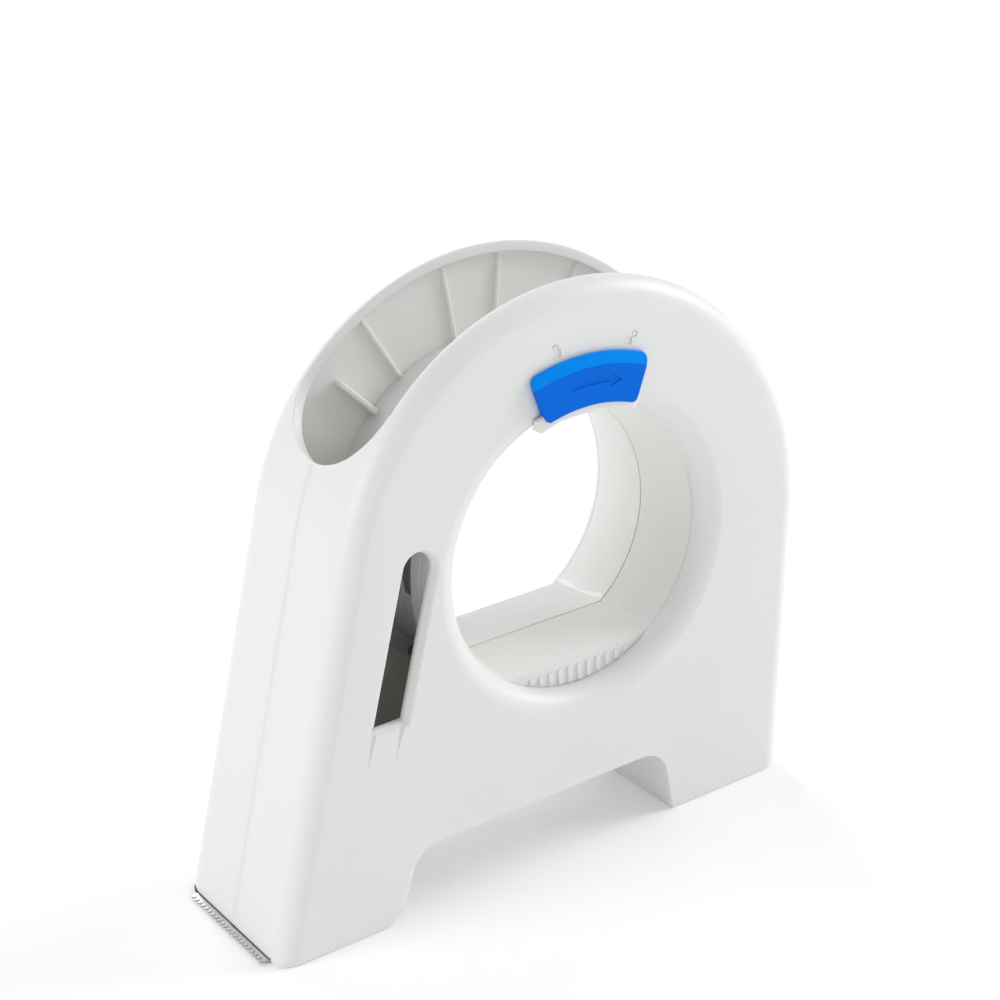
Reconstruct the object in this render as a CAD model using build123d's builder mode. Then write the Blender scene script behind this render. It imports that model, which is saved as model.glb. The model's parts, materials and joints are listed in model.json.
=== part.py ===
from build123d import *
import os
from math import acos, atan2, cos, degrees, hypot, radians, sin, sqrt, tan

os.makedirs("parts", exist_ok=True)

# Frame: +Z up, the tool stands on Z = 0, the two halves part at Y = 0, the blade points to -X.
# The slider side is the -Y side. Angles about the hub run from the top towards the heel.

# Tape roll that the tool carries
core_bore_radius = 38.1
tape_width = 25.0
tape_outer_radius = 53.0
core_play = 0.4
tape_side_play = 0.5
tape_rim_play = 7.7

# Shared allowances
cut_overrun = 1.0
fixed_fit = 0.02
running_fit = 0.05
open_gap = 0.3
head_play = 0.1

# Housing halves, side view
rim_wall = 2.8
side_wall = 2.5
side_space = 7.0
hub_height = 75.0
toe_reach = 87.3
heel_reach = 57.3
edge_round = 5.5
heel_round = 6.0
toe_round = 1.2
notch_height = 17.2
front_foot_length = 31.8
front_foot_flare = 5.8
rear_foot_length = 35.0
rear_foot_flare = 2.2
leg_round = 8.0
notch_rear_round = 7.2
outline_skirt = 20.0

# Window over the roll
window_side_shoulder = 2.5
window_front_angle = 61.0
window_rear_angle = 61.0

# Side slot
slot_width = 7.8
slot_drop = 25.0
slot_rise = 13.0
slot_roll_gap = 2.0
slot_lean_angle = 16.7
slot_bevel_width = 1.5
slot_bevel_depth = 1.3
groove_length = 9.0
groove_radius = 0.9
groove_tip_radius = 0.05

# Finger opening and hub
near_flange = 3.65
flare_round = 5.2
mouth_wall = 3.3
far_mouth_wall = 2.8
far_flare = 2.4
waist_wall = 5.45
floor_rise = 11.7
floor_draft = 2.1
far_floor_draft = 2.6
shoulder_reach = 3.8
sleeve_shell = 2.0
sleeve_parting_gap = 0.15
grip_rib_count = 11
grip_rib_span_share = 0.68
grip_rib_width = 1.2
grip_rib_height = 0.5
grip_rib_top_gap = 1.8
grip_rib_end_gap = 0.4

# Hub screws
hub_screw_angles = (42.0, 138.0, 222.0, 318.0)
hub_screw_head_radius = 1.5
hub_screw_head_height = 1.2
hub_screw_radius = 0.9
hub_screw_bite = 1.6
socket_radius_share = 0.42
socket_depth_share = 0.5

# Core drag springs
drag_spring_angles = (-79.0, 79.0, 180.0)
drag_spring_span_angle = 38.0
drag_spring_foot_angle = 4.0
drag_spring_end_angle = 0.5
drag_spring_strip = 0.35
drag_spring_seat = 0.7
drag_spring_width = 8.0
drag_spring_edge = 3.0

# Lock slider and its moving parts
lock_travel_angle = 14.0
slider_lip = 1.4
slider_reach = 13.0
slider_first_angle = -17.7
slider_last_angle = 21.9
slider_proud = 1.95
slider_skin = 0.7
slider_side_wall = 1.1
slider_outer_wall = 2.2
slider_corner = 1.9
slider_bevel_width = 2.7
slider_bevel_depth = 0.8
arrow_inset = 6.4
arrow_width = 1.0
arrow_first_angle = -6.0
arrow_last_angle = 13.5
arrow_head = 1.5
arrow_head_angle = 4.0
arrow_depth = 0.25
carrier_rim_width = 3.4
carrier_first_angle = -20.6
carrier_last_angle = 23.2
carrier_end_angle = 0.5
carrier_gap = 0.25
plinth_drop = 2.3
tongue_thickness = 1.15
tongue_half_angle = 8.0
tongue_setback = 1.0
tongue_play_angle = 0.5
hook_angle = 8.0
hook_thickness = 2.4
catch_thickness = 2.4
hook_play = 0.3
stem_width = 2.8
stem_inset = 1.4
stem_first_angle = -1.5
stem_last_angle = 5.5
stem_play = 0.2
keeper_gap = 0.9
keeper_thickness = 1.2
keeper_length = 14.0
keeper_width = 5.4
keeper_corner = 1.35
spring_strip = 0.25
spring_window_play = 0.3
lock_screw_radius = 0.8
lock_screw_head_radius = 1.7
lock_screw_head_height = 1.1
lock_screw_length = 4.4
symbol_gap = 1.0
symbol_angles = (-7.5, 15.0)
symbol_width = 2.5
symbol_body_height = 1.9
symbol_shackle_radius = 0.85
symbol_shackle_leg = 0.6
symbol_line = 0.45
symbol_depth = 0.35

# Inner wall ribs
rib_angles = (-30.0, -7.5, 7.5, 30.0, 52.0, 75.0, -75.0)
rib_keeper_gap = 2.7
rib_width = 1.1
rib_height = 1.2
tall_rib_angle = -44.0
tall_rib_end = 1.6
tall_rib_height = 3.4
tall_rib_width = 1.5

# Cutting blade, its holder and screws
blade_strip = 0.5
blade_floor_gap = 0.4
blade_root_out = 0.35
blade_end_play = 0.55
tooth_length = 1.35
tooth_count = 22
lip_height = 1.3
blade_top = 9.0
blade_boss_height = 1.6
blade_boss_radius = 2.5
holder_thickness = 2.7
holder_floor_gap = 0.25
holder_end_play = 0.3
holder_top = 9.2
toe_pad_overlap = 1.2
toe_pad_inset = 0.35
toe_pad_length = 7.9
toe_pad_round = 4.5
toe_corner_length = 8.3
toe_pad_floor_gap = 0.15
toe_pad_top_gap = 0.15
blade_screw_shares = (-0.76, -0.24)
blade_screw_rise = 5.4
blade_screw_radius = 1.0
blade_screw_head_radius = 1.8
blade_screw_head_height = 1.1
stake_shares = (0.3, 0.79)
stake_radius = 1.0
stake_proud = 0.5

# Foot opening, rollers and axles
foot_opening_side_shoulder = 2.4
foot_opening_length = 25.7
foot_opening_height = 6.0
axle_radius = 1.5
axle_boss_radius = 3.2
axle_end_gap = 0.4
axle_chamfer = 0.3
roller_overlength = 0.4
roller_boss_gap = 0.4
roller_end_recess = 1.0
roller_rim = 1.6
roller_hub = 1.4
roller_chamfer = 0.4
press_roller_setback = 20.8
press_roller_rise = 6.5
press_roller_radius = 5.6
guide_roller_setback = 24.8
guide_roller_rise = 38.0
guide_roller_radius = 5.0
guide_groove_depth = 0.8
guide_groove_count = 7
guide_land_share = 0.45

# Register pins between the halves
pin_front_inset = 9.7
pin_front_gap = 0.8
pin_rear_inset = 16.3
pin_rear_rise = 12.5
pin_radius = 2.0
pin_boss_radius = 3.4
pin_near_length = 8.0
pin_far_length = 9.0
boss_parting_gap = 0.2

# Sizes that follow from the roll
hub_radius = core_bore_radius - core_play
tape_half_space = tape_width / 2 + tape_side_play
inner_face = tape_half_space + side_space
half_width = inner_face + side_wall
arch_radius = tape_outer_radius + tape_rim_play + rim_wall
tip_reach = toe_reach + blade_root_out + tooth_length
hub_x = (tip_reach + arch_radius) / 2 - arch_radius

# Sizes that follow round the finger opening
seat_depth = tape_half_space + near_flange
mouth_radius = hub_radius - mouth_wall
far_mouth_radius = hub_radius - far_mouth_wall
waist_radius = hub_radius - waist_wall
waist_drop = hub_radius - floor_rise
mouth_drop = waist_drop + floor_draft
far_mouth_drop = waist_drop + far_floor_draft
flare_outer_radius = mouth_radius + flare_round
flare_start = half_width - flare_round
shoulder_radius = hub_radius + shoulder_reach
hub_screw_ring = (hub_radius + shoulder_radius) / 2
hub_screw_grip = seat_depth - tape_half_space - hub_screw_head_height

# Sizes that follow in the lock
slider_face = half_width + slider_proud
slider_back = half_width + carrier_gap
slider_inner_radius = mouth_radius + slider_lip
slider_outer_radius = mouth_radius + slider_reach
arrow_radius = slider_outer_radius - arrow_inset
symbol_radius = slider_outer_radius + symbol_gap
carrier_face = slider_face - slider_skin
carrier_rim_outer = mouth_radius + carrier_rim_width
plinth_end = half_width - plinth_drop
plinth_end_width = sqrt((flare_round + carrier_gap) ** 2 - (plinth_end - flare_start) ** 2)
plinth_end_radius = flare_outer_radius - plinth_end_width
tongue_face = half_width - tongue_setback
tongue_outer = mouth_radius - carrier_gap
tongue_inner = tongue_outer - tongue_thickness
tongue_room_first = -tongue_half_angle - lock_travel_angle - tongue_play_angle
tongue_room_last = tongue_half_angle + tongue_play_angle
stem_outer_radius = slider_outer_radius - stem_inset
stem_inner_radius = stem_outer_radius - stem_width
stem_radius = (stem_inner_radius + stem_outer_radius) / 2
stem_angle = (stem_first_angle + stem_last_angle) / 2
keeper_face = inner_face - keeper_gap

# Sizes that follow in the housing
rib_outer_radius = arch_radius - rim_wall / 2
rib_inner_radius = hypot(stem_radius + keeper_width / 2, keeper_length / 2) + rib_keeper_gap
far_rib_inner_radius = shoulder_radius + open_gap
window_half_width = inner_face - window_side_shoulder
slot_bottom = hub_height - slot_drop
slot_top = hub_height + slot_rise
slot_bottom_reach = tape_outer_radius + slot_roll_gap
notch_front_foot = toe_reach - front_foot_length
notch_front_top = notch_front_foot - front_foot_flare
notch_rear_foot = heel_reach - rear_foot_length
notch_rear_top = notch_rear_foot - rear_foot_flare
pin_front_reach = notch_front_top - pin_front_inset
pin_front_rise = notch_height + rim_wall + pin_boss_radius + pin_front_gap
pin_places = ((-pin_front_reach, pin_front_rise), (heel_reach - pin_rear_inset, pin_rear_rise))

# Sizes that follow in the toe
foot_opening_half_width = inner_face - foot_opening_side_shoulder
foot_opening_rear = toe_reach - foot_opening_length
blade_half_width = foot_opening_half_width - blade_end_play
tooth_pitch = 2 * blade_half_width / tooth_count
blade_depth = rim_wall + blade_boss_height
holder_depth = blade_depth + blade_strip
holder_back = holder_depth + holder_thickness
toe_corner_rear = toe_reach - toe_corner_length
roller_half_length = tape_half_space + roller_overlength
press_place = (-(toe_reach - press_roller_setback), press_roller_rise)
guide_place = (-(toe_reach - guide_roller_setback), guide_roller_rise)
axle_places = (press_place, guide_place)
axle_boss_top = roller_half_length + roller_boss_gap
axle_reach = inner_face - axle_end_gap


def side_plane(y):
    """Side view plane at this Y, with its origin under the hub axis and its normal towards -Y."""
    return Plane(origin=(hub_x, y, 0), x_dir=(1, 0, 0), z_dir=(0, -1, 0))


def radial_plane(angle):
    """Plane through the hub axis: its x runs along +Y, and its y runs outwards at this angle."""
    turn = radians(angle)
    return Plane(origin=(hub_x, 0, hub_height), x_dir=(0, 1, 0), z_dir=(cos(turn), 0, -sin(turn)))


hub_axis = Axis((hub_x, 0, hub_height), (0, 1, 0))


def around_hub(radius, angle):
    """Point of the side view at this radius and angle about the hub."""
    return (radius * sin(radians(angle)), hub_height + radius * cos(radians(angle)))


def touch_angle(reach, way):
    """Angle of the arch, from +X, where the wall that rises from a foot touches it; way is -1 in front."""
    foot = atan2(-hub_height, way * reach)
    return degrees(foot + way * acos(arch_radius / hypot(reach, hub_height)))


front_touch = touch_angle(toe_reach, -1) + 360
rear_touch = touch_angle(heel_reach, 1)
front_lean = 180 - front_touch
rear_lean = -rear_touch
front_wall = Plane(
    origin=(hub_x - toe_reach, 0, 0),
    x_dir=(0, -1, 0),
    z_dir=(-cos(radians(front_lean)), 0, sin(radians(front_lean))),
)


def behind_front_wall(depth, z):
    """X in the side view of a point this far behind the front wall's outer face, at height z."""
    return -toe_reach + depth / cos(radians(front_lean)) + z * tan(radians(front_lean))


def ring_sector(y, inner, outer, first, last):
    """Sketch of a piece of a ring about the hub, in the side view at this Y."""
    with BuildSketch(side_plane(y)) as sector:
        with BuildLine():
            inside = CenterArc((0, hub_height), inner, 90 - last, last - first)
            outside = CenterArc((0, hub_height), outer, 90 - last, last - first)
            Line(inside @ 0, outside @ 0)
            Line(inside @ 1, outside @ 1)
        make_face()
    return sector.sketch


def arch_outline(skirt):
    """Sketch of the arch with its two straight walls, down to a skirt below the floor."""
    front_foot = (-toe_reach - skirt * tan(radians(front_lean)), -skirt)
    rear_foot = (heel_reach - skirt * tan(radians(rear_lean)), -skirt)
    with BuildSketch(side_plane(0)) as outline:
        with BuildLine():
            arch = CenterArc((0, hub_height), arch_radius, rear_touch, front_touch - rear_touch)
            Line(rear_foot, arch @ 0)
            Line(arch @ 1, front_foot)
            Line(front_foot, rear_foot)
        make_face()
    return outline.sketch


def side_view(inset):
    """Sketch of the housing's side view, drawn in by this much: arch, two feet and the notch between."""
    corners = (
        ((-toe_reach, 0), toe_round),
        ((heel_reach, 0), heel_round),
        ((notch_rear_top, notch_height), notch_rear_round),
        ((-notch_front_top, notch_height), leg_round),
        ((-notch_front_foot, 0), leg_round),
    )
    with BuildSketch(side_plane(0)) as outline:
        with BuildLine():
            arch = CenterArc((0, hub_height), arch_radius, rear_touch, front_touch - rear_touch)
            Polyline(
                arch @ 1,
                (-toe_reach, 0),
                (-notch_front_foot, 0),
                (-notch_front_top, notch_height),
                (notch_rear_top, notch_height),
                (notch_rear_foot, 0),
                (heel_reach, 0),
                arch @ 0,
            )
        make_face()
        for place, radius in corners:
            fillet(outline.vertices().sort_by_distance(place)[0], radius)
        if inset > 0:
            offset(amount=-inset, kind=Kind.INTERSECTION)
    return outline.sketch


def housing_half(way):
    """Adds one hollow half of the housing to the open part; way is 1 on the slider side."""
    block = extrude(arch_outline(outline_skirt), amount=way * half_width)
    outer_face = block.faces().sort_by(Axis.Y)[0 if way > 0 else -1]
    fillet(outer_face.edges().sort_by(Axis.Z)[1:], edge_round)
    extrude(side_view(0), amount=way * half_width, mode=Mode.INTERSECT)
    extrude(side_view(rim_wall), amount=way * inner_face, mode=Mode.SUBTRACT)


def window_cut(way):
    """Opens this half's share of the window, round at both ends, over the roll."""
    end_turn = degrees(window_half_width / arch_radius)
    straight_first = -window_front_angle + end_turn
    straight_last = window_rear_angle - end_turn
    inner = arch_radius - rim_wall - cut_overrun
    straight = ring_sector(0, inner, arch_radius + cut_overrun, straight_first, straight_last)
    extrude(straight, amount=way * window_half_width, mode=Mode.SUBTRACT)
    # Each round end starts deep enough to be through the wall at its tip as well
    end_start = sqrt(inner**2 - window_half_width**2)
    for angle in (straight_first, straight_last):
        turn = radians(angle)
        end = Plane(
            origin=(hub_x + end_start * sin(turn), 0, hub_height + end_start * cos(turn)),
            x_dir=(0, 1, 0),
            z_dir=(sin(turn), 0, cos(turn)),
        )
        with BuildSketch(end) as end_round:
            Circle(window_half_width)
            with Locations((way * window_half_width, 0)):
                Rectangle(2 * window_half_width, 2 * window_half_width, mode=Mode.SUBTRACT)
        extrude(end_round.sketch, amount=window_half_width, mode=Mode.SUBTRACT)


def wall_ribs(way, inner_radius):
    """Adds the thin radial ribs to the side wall's inner face."""
    length = rib_outer_radius - inner_radius
    for angle in rib_angles:
        with BuildSketch(side_plane(-way * inner_face)) as rib:
            with Locations(around_hub(inner_radius + length / 2, angle)):
                Rectangle(rib_width, length, rotation=-angle)
        extrude(rib.sketch, amount=-way * rib_height)


def screw_holes(way, face, depth):
    """Drills the pilot holes of the hub screws into a half, from the face that the sleeve sits on."""
    with BuildSketch(side_plane(-way * face)) as holes:
        with Locations([around_hub(hub_screw_ring, angle) for angle in hub_screw_angles]):
            Circle(hub_screw_radius + fixed_fit)
    extrude(holes.sketch, amount=way * depth, mode=Mode.SUBTRACT)


def posts(way, places, radius, bore_radius, top, bore_depth):
    """Adds round bosses to the side wall, up to the height top off the parting, with a blind bore each."""
    with BuildSketch(side_plane(-way * top)) as bosses:
        with Locations(places):
            Circle(radius)
    extrude(bosses.sketch, amount=way * (inner_face - top + side_wall / 2))
    with BuildSketch(side_plane(-way * top)) as bores:
        with Locations(places):
            Circle(bore_radius)
    extrude(bores.sketch, amount=way * bore_depth, mode=Mode.SUBTRACT)


def foot_opening(way):
    """Opens the underside of the front foot between its two skirts."""
    with BuildSketch(side_plane(0)) as underside:
        with BuildLine():
            Polyline(
                (behind_front_wall(rim_wall, -cut_overrun), -cut_overrun),
                (behind_front_wall(rim_wall, foot_opening_height), foot_opening_height),
                (-foot_opening_rear, foot_opening_height),
                (-foot_opening_rear, -cut_overrun),
                close=True,
            )
        make_face()
    extrude(underside.sketch, amount=way * foot_opening_half_width, mode=Mode.SUBTRACT)


def lip_cut(way, reach, rear):
    """Lifts the front wall's lower edge over the blade, out to this reach from the parting."""
    with BuildSketch(side_plane(0)) as lip:
        with Locations((-rear, 0)):
            Rectangle(toe_reach - rear + cut_overrun, 2 * lip_height, align=(Align.MAX, Align.CENTER))
    extrude(lip.sketch, amount=way * reach, mode=Mode.SUBTRACT)


def wall_places(shares):
    """Places on the front wall, at the blade screws' height and at these shares of the blade's half width."""
    return [(-share * blade_half_width, blade_screw_rise / cos(radians(front_lean))) for share in shares]


def finger_opening(way, outer_radius, inner_radius, depth):
    """Cuts the round finger opening through the side wall, with a soft flare of this depth outside."""
    with BuildSketch(radial_plane(0)) as flare:
        with BuildLine():
            rim = (-way * half_width, outer_radius)
            throat = (-way * (half_width - depth), inner_radius)
            inside = -way * (half_width - depth - cut_overrun)
            outside = -way * (half_width + cut_overrun)
            TangentArc(rim, throat, tangent=(0, -1))
            Polyline(throat, (inside, inner_radius), (inside, 0), (outside, 0), (outside, outer_radius), rim)
        make_face()
    revolve(flare.sketch, axis=hub_axis, mode=Mode.SUBTRACT)


def slot_outline(y, bevel):
    """Sketch of the leaning side slot at this Y, round at the top, wider below and behind by this bevel."""
    lean = radians(slot_lean_angle)
    bottom = slot_bottom - bevel
    round_radius = (slot_width + bevel) / 2
    straight_height = slot_top - slot_width / 2 - slot_bottom
    round_z = slot_bottom + straight_height - bevel / 2 * sin(lean)
    round_x = -slot_bottom_reach + straight_height * tan(lean) + bevel / 2 * cos(lean)
    front = (round_x - round_radius * cos(lean), round_z + round_radius * sin(lean))
    rear = (round_x + round_radius * cos(lean), round_z - round_radius * sin(lean))
    with BuildSketch(side_plane(y)) as outline:
        with BuildLine():
            Polyline(
                front,
                (front[0] - (front[1] - bottom) * tan(lean), bottom),
                (rear[0] - (rear[1] - bottom) * tan(lean), bottom),
                rear,
            )
            CenterArc((round_x, round_z), round_radius, -slot_lean_angle, 180)
        make_face()
    return outline.sketch


def d_outline(y, radius, drop):
    """Sketch of the finger opening at this Y: a circle with a flat floor this far below the axis."""
    with BuildSketch(side_plane(y)) as outline:
        with Locations((0, hub_height)):
            Circle(radius)
        with Locations((0, hub_height - drop)):
            Rectangle(2 * radius, 2 * radius, align=(Align.CENTER, Align.MAX), mode=Mode.SUBTRACT)
    return outline.sketch


def hub_sleeve(way, end, end_radius, end_drop):
    """Adds one half of the core hub to the open part, from the parting out to its end face."""
    with BuildSketch(side_plane(-way * sleeve_parting_gap)) as barrel:
        with Locations((0, hub_height)):
            Circle(hub_radius)
    extrude(barrel.sketch, amount=way * (tape_half_space - sleeve_parting_gap))
    with BuildSketch(side_plane(-way * tape_half_space)) as flange:
        with Locations((0, hub_height)):
            Circle(shoulder_radius)
    extrude(flange.sketch, amount=way * (end - tape_half_space))
    waist = d_outline(0, waist_radius, waist_drop)
    loft([waist, d_outline(-way * end, end_radius, end_drop)], mode=Mode.SUBTRACT)
    # Hollow below the floor, open towards the parting
    with BuildSketch(side_plane(0)) as hollow:
        with Locations((0, hub_height)):
            Circle(hub_radius - sleeve_shell)
        with Locations((0, hub_height - end_drop - sleeve_shell)):
            Rectangle(2 * hub_radius, 2 * hub_radius, align=(Align.CENTER, Align.MIN), mode=Mode.SUBTRACT)
    extrude(hollow.sketch, amount=way * (end - sleeve_shell), mode=Mode.SUBTRACT)
    # Stepped holes of the sleeve's screws
    places = [around_hub(hub_screw_ring, angle) for angle in hub_screw_angles]
    with BuildSketch(side_plane(-way * end)) as holes:
        with Locations(places):
            Circle(hub_screw_radius + fixed_fit)
    extrude(holes.sketch, amount=-way * end, mode=Mode.SUBTRACT)
    with BuildSketch(side_plane(-way * (end - hub_screw_grip))) as head_holes:
        with Locations(places):
            Circle(hub_screw_head_radius + head_play)
    extrude(head_holes.sketch, amount=-way * end, mode=Mode.SUBTRACT)


def screw_group(seat, way, places, head_radius, head_height, shank_radius, shank_length):
    """Adds screws with hexagon sockets to the open part; their heads lie behind the seat if way is 1."""
    with BuildSketch(seat) as heads:
        with Locations(places):
            Circle(head_radius)
    extrude(heads.sketch, amount=-way * head_height)
    with BuildSketch(seat) as shanks:
        with Locations(places):
            Circle(shank_radius)
    extrude(shanks.sketch, amount=way * shank_length)
    with BuildSketch(seat.offset(-way * head_height)) as sockets:
        with Locations(places):
            RegularPolygon(head_radius * socket_radius_share, 6)
    extrude(sockets.sketch, amount=way * head_height * socket_depth_share, mode=Mode.SUBTRACT)


# Slider-side half: wall with the flared finger opening, the side slot and the lock's window
with BuildPart() as near_shell:
    housing_half(1)
    with BuildSketch(side_plane(-inner_face)):
        with Locations((0, hub_height)):
            Circle(shoulder_radius)
    extrude(amount=-(inner_face - seat_depth))
    finger_opening(1, flare_outer_radius, mouth_radius, flare_round)
    wall_ribs(1, rib_inner_radius)
    window_cut(1)
    screw_holes(1, seat_depth, hub_screw_bite + open_gap)
    # Side slot with its bevelled rim, and two shallow grooves that fade out below its lower corners
    extrude(slot_outline(-half_width, 0), amount=-side_wall, mode=Mode.SUBTRACT)
    slot_floor = slot_outline(-half_width + slot_bevel_depth, 0)
    loft([slot_outline(-half_width, slot_bevel_width), slot_floor], mode=Mode.SUBTRACT)
    slot_lean = radians(slot_lean_angle)
    groove_inset = slot_width / 2 / cos(slot_lean) - groove_radius / 2
    for level in (-groove_inset, groove_inset):
        groove = Plane(
            origin=(hub_x - slot_bottom_reach + level, -half_width, slot_bottom),
            x_dir=(0, 1, 0),
            z_dir=(-sin(slot_lean), 0, -cos(slot_lean)),
        )
        with BuildSketch(groove.offset(-cut_overrun)):
            Circle(groove_radius)
        with BuildSketch(groove.offset(groove_length)):
            Circle(groove_tip_radius)
        loft(mode=Mode.SUBTRACT)
    # Curved window under the slider, for the carrier's stem
    stem_swing = degrees(stem_play / stem_inner_radius)
    stem_window = ring_sector(
        -half_width,
        stem_inner_radius - stem_play,
        stem_outer_radius + stem_play,
        stem_first_angle - lock_travel_angle - stem_swing,
        stem_last_angle + stem_swing,
    )
    extrude(stem_window, amount=-side_wall, mode=Mode.SUBTRACT)
    # Closed and open padlock symbols, sunk in the face above the slider
    for place, angle in enumerate(symbol_angles):
        with BuildSketch(side_plane(-half_width)):
            with Locations(Location((*around_hub(symbol_radius, angle), 0), (0, 0, 1), -angle)):
                Rectangle(symbol_width, symbol_body_height, align=(Align.CENTER, Align.MIN))
                shackle_side = place * (symbol_width - 2 * symbol_line)
                with Locations((shackle_side, symbol_body_height + symbol_shackle_leg)):
                    Circle(symbol_shackle_radius)
                    Circle(symbol_shackle_radius - symbol_line, mode=Mode.SUBTRACT)
        extrude(amount=-symbol_depth, mode=Mode.SUBTRACT)
    foot_opening(1)
    lip_cut(1, foot_opening_half_width, foot_opening_rear)
    pin_bore = pin_near_length + open_gap
    posts(1, pin_places, pin_boss_radius, pin_radius + running_fit, boss_parting_gap, pin_bore)
    axle_bore = axle_reach - axle_boss_top
    posts(1, axle_places, axle_boss_radius, axle_radius + fixed_fit, axle_boss_top, axle_bore)
    # Bosses behind the front wall that take the blade screws
    boss_places = wall_places(blade_screw_shares)
    with BuildSketch(front_wall.offset(-rim_wall / 2)):
        with Locations(boss_places):
            Circle(blade_boss_radius)
    extrude(amount=-(rim_wall / 2 + blade_boss_height))
    with BuildSketch(front_wall.offset(-rim_wall / 2)):
        with Locations(boss_places):
            Circle(blade_screw_radius + fixed_fit)
    extrude(amount=-(rim_wall / 2 + blade_boss_height), mode=Mode.SUBTRACT)
near_shell.part.label = "near_shell"
export_step(near_shell.part, "parts/near_shell.step")

# Far half: the same shell with a plainly rounded finger opening and long ribs beside the roll
with BuildPart() as far_shell:
    housing_half(-1)
    finger_opening(-1, far_mouth_radius + far_flare, far_mouth_radius, side_wall)
    wall_ribs(-1, far_rib_inner_radius)
    window_cut(-1)
    tall_rib_length = tape_outer_radius + tall_rib_end - far_rib_inner_radius
    with BuildSketch(side_plane(inner_face)):
        with Locations(around_hub(far_rib_inner_radius + tall_rib_length / 2, tall_rib_angle)):
            SlotOverall(tall_rib_length, tall_rib_width, rotation=90 - tall_rib_angle)
    extrude(amount=tall_rib_height)
    screw_holes(-1, inner_face, hub_screw_bite + open_gap)
    foot_opening(-1)
    lip_cut(-1, half_width + cut_overrun, toe_corner_rear)
    posts(-1, pin_places, pin_boss_radius, pin_radius + fixed_fit, boss_parting_gap, pin_far_length)
    axle_bore = inner_face - axle_boss_top
    posts(-1, axle_places, axle_boss_radius, axle_radius + running_fit, axle_boss_top, axle_bore)
far_shell.part.label = "far_shell"
export_step(far_shell.part, "parts/far_shell.step")

# Slider-side half of the core hub, with the grip ribs under the floor's edge and the tongue's channel
with BuildPart() as near_hub_sleeve:
    hub_sleeve(1, seat_depth, mouth_radius, mouth_drop)
    channel = ring_sector(0, waist_radius - cut_overrun, mouth_radius, tongue_room_first, tongue_room_last)
    extrude(channel, amount=seat_depth, mode=Mode.SUBTRACT)
    for angle in drag_spring_angles:
        half_span = drag_spring_span_angle / 2 + drag_spring_end_angle
        recess = ring_sector(
            -drag_spring_edge + open_gap,
            hub_radius - drag_spring_seat,
            hub_radius + cut_overrun,
            angle - half_span,
            angle + half_span,
        )
        extrude(recess, amount=drag_spring_width + 2 * open_gap, mode=Mode.SUBTRACT)
    floor_half_width = sqrt(mouth_radius**2 - mouth_drop**2)
    grip_rib_pitch = 2 * grip_rib_span_share * floor_half_width / (grip_rib_count - 1)
    with BuildSketch(side_plane(-seat_depth)):
        for place in range(grip_rib_count):
            across = place * grip_rib_pitch - grip_rib_span_share * floor_half_width
            outer_corner = abs(across) + grip_rib_width / 2
            bottom = sqrt((mouth_radius - grip_rib_end_gap) ** 2 - outer_corner**2)
            top = mouth_drop + grip_rib_top_gap
            with Locations((across, hub_height - top)):
                Rectangle(grip_rib_width, bottom - top, align=(Align.CENTER, Align.MAX))
    extrude(amount=grip_rib_height)
near_hub_sleeve.part.label = "near_hub_sleeve"
export_step(near_hub_sleeve.part, "parts/near_hub_sleeve.step")

# Far half of the core hub, with the stepped pocket that the tongue's hook turns into
with BuildPart() as far_hub_sleeve:
    hub_sleeve(-1, inner_face, far_mouth_radius, far_mouth_drop)
    catch_inner = waist_radius - cut_overrun
    catch_depth = catch_thickness + hook_thickness + 2 * hook_play
    entry = ring_sector(0, catch_inner, mouth_radius, tongue_room_first, tongue_room_last)
    extrude(entry, amount=-catch_depth, mode=Mode.SUBTRACT)
    hook_room_first = tongue_room_first - hook_angle
    hook_room = ring_sector(catch_thickness, catch_inner, mouth_radius, hook_room_first, tongue_room_last)
    extrude(hook_room, amount=-(catch_depth - catch_thickness), mode=Mode.SUBTRACT)
far_hub_sleeve.part.label = "far_hub_sleeve"
export_step(far_hub_sleeve.part, "parts/far_hub_sleeve.step")

# Screws of the two sleeves, four each, driven from the tape's side
hub_screw_places = [around_hub(hub_screw_ring, angle) for angle in hub_screw_angles]
hub_screw_shank = hub_screw_grip + hub_screw_bite
with BuildPart() as near_hub_screws:
    screw_group(
        side_plane(-(seat_depth - hub_screw_grip)),
        1,
        hub_screw_places,
        hub_screw_head_radius,
        hub_screw_head_height,
        hub_screw_radius,
        hub_screw_shank,
    )
near_hub_screws.part.label = "near_hub_screws"
export_step(near_hub_screws.part, "parts/near_hub_screws.step")

with BuildPart() as far_hub_screws:
    screw_group(
        side_plane(inner_face - hub_screw_grip),
        -1,
        hub_screw_places,
        hub_screw_head_radius,
        hub_screw_head_height,
        hub_screw_radius,
        hub_screw_shank,
    )
far_hub_screws.part.label = "far_hub_screws"
export_step(far_hub_screws.part, "parts/far_hub_screws.step")

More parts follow.
